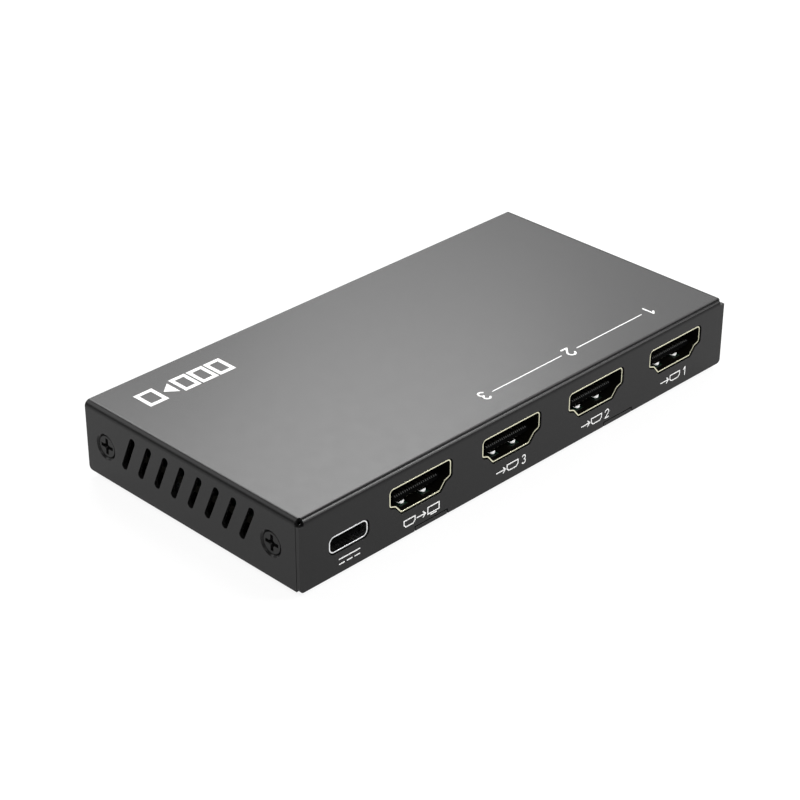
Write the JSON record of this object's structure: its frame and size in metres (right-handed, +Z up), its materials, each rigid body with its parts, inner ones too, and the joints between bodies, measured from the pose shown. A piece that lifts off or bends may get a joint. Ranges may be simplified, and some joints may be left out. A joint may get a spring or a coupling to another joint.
{
  "type": "hdmi switch box",
  "caption": "Flat folded-steel video switch box with HDMI sockets and a USB-C power socket on one long side, slanted vent slots at the ends and a sprung select button.",
  "frame": {"origin": "under the middle of the case, on the surface that the feet stand on", "axes": "+X along the port side, from the power socket towards the first input; +Y from the port side to the control side; +Z up"},
  "size_m": [0.112, 0.057, 0.0152],
  "materials": {
    "case_paint": "satin black powder coat",
    "black_screws": "black zinc",
    "foot_rubber": "matt",
    "board": "green solder mask",
    "plain_brass": "nickel plated",
    "plain_screws": "zinc plated",
    "gold_shell": "pale gold flash on steel",
    "black_moulding": "moulded black",
    "gold_contacts": "gold plated",
    "steel_shell": "bright",
    "chip_black": "moulded epoxy",
    "pad_grey": "soft silicone",
    "bare_aluminium": "extruded",
    "crystal_can": "plated can",
    "ferrite": "pressed powder",
    "ceramic_tan": "fired ceramic",
    "plunger_white": "moulded",
    "button_black": "moulded, satin",
    "led_cream": "resin",
    "clear_acrylic": "clear acrylic",
    "receiver_dark": "dark resin",
    "window_dark": "dark red acrylic"
  },
  "bodies": {
    "case": {"top_cover": "case_paint", "bottom_tray": "case_paint", "side_screws": "black_screws", "rubber_feet": "foot_rubber", "main_board": "board", "board_standoffs": "plain_brass", "board_screws": "plain_screws", "hdmi_output_shell": "gold_shell", "hdmi_input_3_shell": "gold_shell", "hdmi_input_2_shell": "gold_shell", "hdmi_input_1_shell": "gold_shell", "hdmi_output_insulator": "black_moulding", "hdmi_input_3_insulator": "black_moulding", "hdmi_input_2_insulator": "black_moulding", "hdmi_input_1_insulator": "black_moulding", "usb_c_insulator": "black_moulding", "select_switch": "black_moulding", "hdmi_output_contacts": "gold_contacts", "hdmi_input_3_contacts": "gold_contacts", "hdmi_input_2_contacts": "gold_contacts", "hdmi_input_1_contacts": "gold_contacts", "usb_c_contacts": "gold_contacts", "usb_c_shell": "steel_shell", "switch_chip": "chip_black", "controller_chip": "chip_black", "voltage_regulator": "chip_black", "esd_arrays": "chip_black", "thermal_pad": "pad_grey", "heat_sink": "bare_aluminium", "bulk_capacitors": "bare_aluminium", "crystal": "crystal_can", "power_inductor": "ferrite", "ceramic_capacitors": "ceramic_tan", "status_leds": "led_cream", "light_pipes": "clear_acrylic", "ir_receiver": "receiver_dark", "ir_window": "window_dark"},
    "button": {"select_button": "button_black", "switch_plunger": "plunger_white"}
  },
  "joints": [
    {"name": "select_button_press", "type": "slide", "parent": "case", "child": "button", "axis": [0, -1, 0], "range_m": [0, 0.0004], "stiffness_N_per_m": 400}
  ]
}
